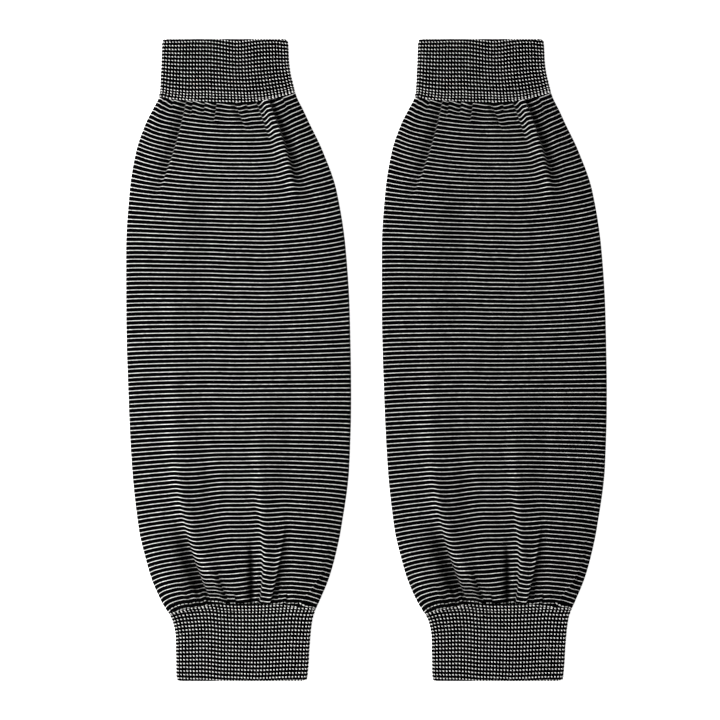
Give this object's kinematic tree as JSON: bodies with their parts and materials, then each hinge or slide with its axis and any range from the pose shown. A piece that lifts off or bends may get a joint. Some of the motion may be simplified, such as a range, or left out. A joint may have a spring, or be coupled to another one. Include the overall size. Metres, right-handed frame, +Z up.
{
  "type": "pair of striped knitted sleeves",
  "caption": "Pair of loose striped knit tube sleeves with gathered ends and doubled rib cuffs, laid flat side by side.",
  "frame": {"origin": "middle of the pair on the surface it lies on", "axes": "+Z up from the surface, +Y along the sleeves towards the upper cuffs, +X to the right as seen from above"},
  "size_m": [0.3144, 0.42, 0.0066],
  "materials": {
    "striped_jersey": "single jersey knit, black with fine off-white stripes, matt with a soft nap",
    "striped_rib": "1x1 rib knit, black with rows of off-white dots, matt with a soft nap"
  },
  "bodies": {
    "root": {"left_body": "striped_jersey", "left_upper_cuff": "striped_rib", "left_lower_cuff": "striped_rib", "right_body": "striped_jersey", "right_upper_cuff": "striped_rib", "right_lower_cuff": "striped_rib"}
  },
  "joints": []
}
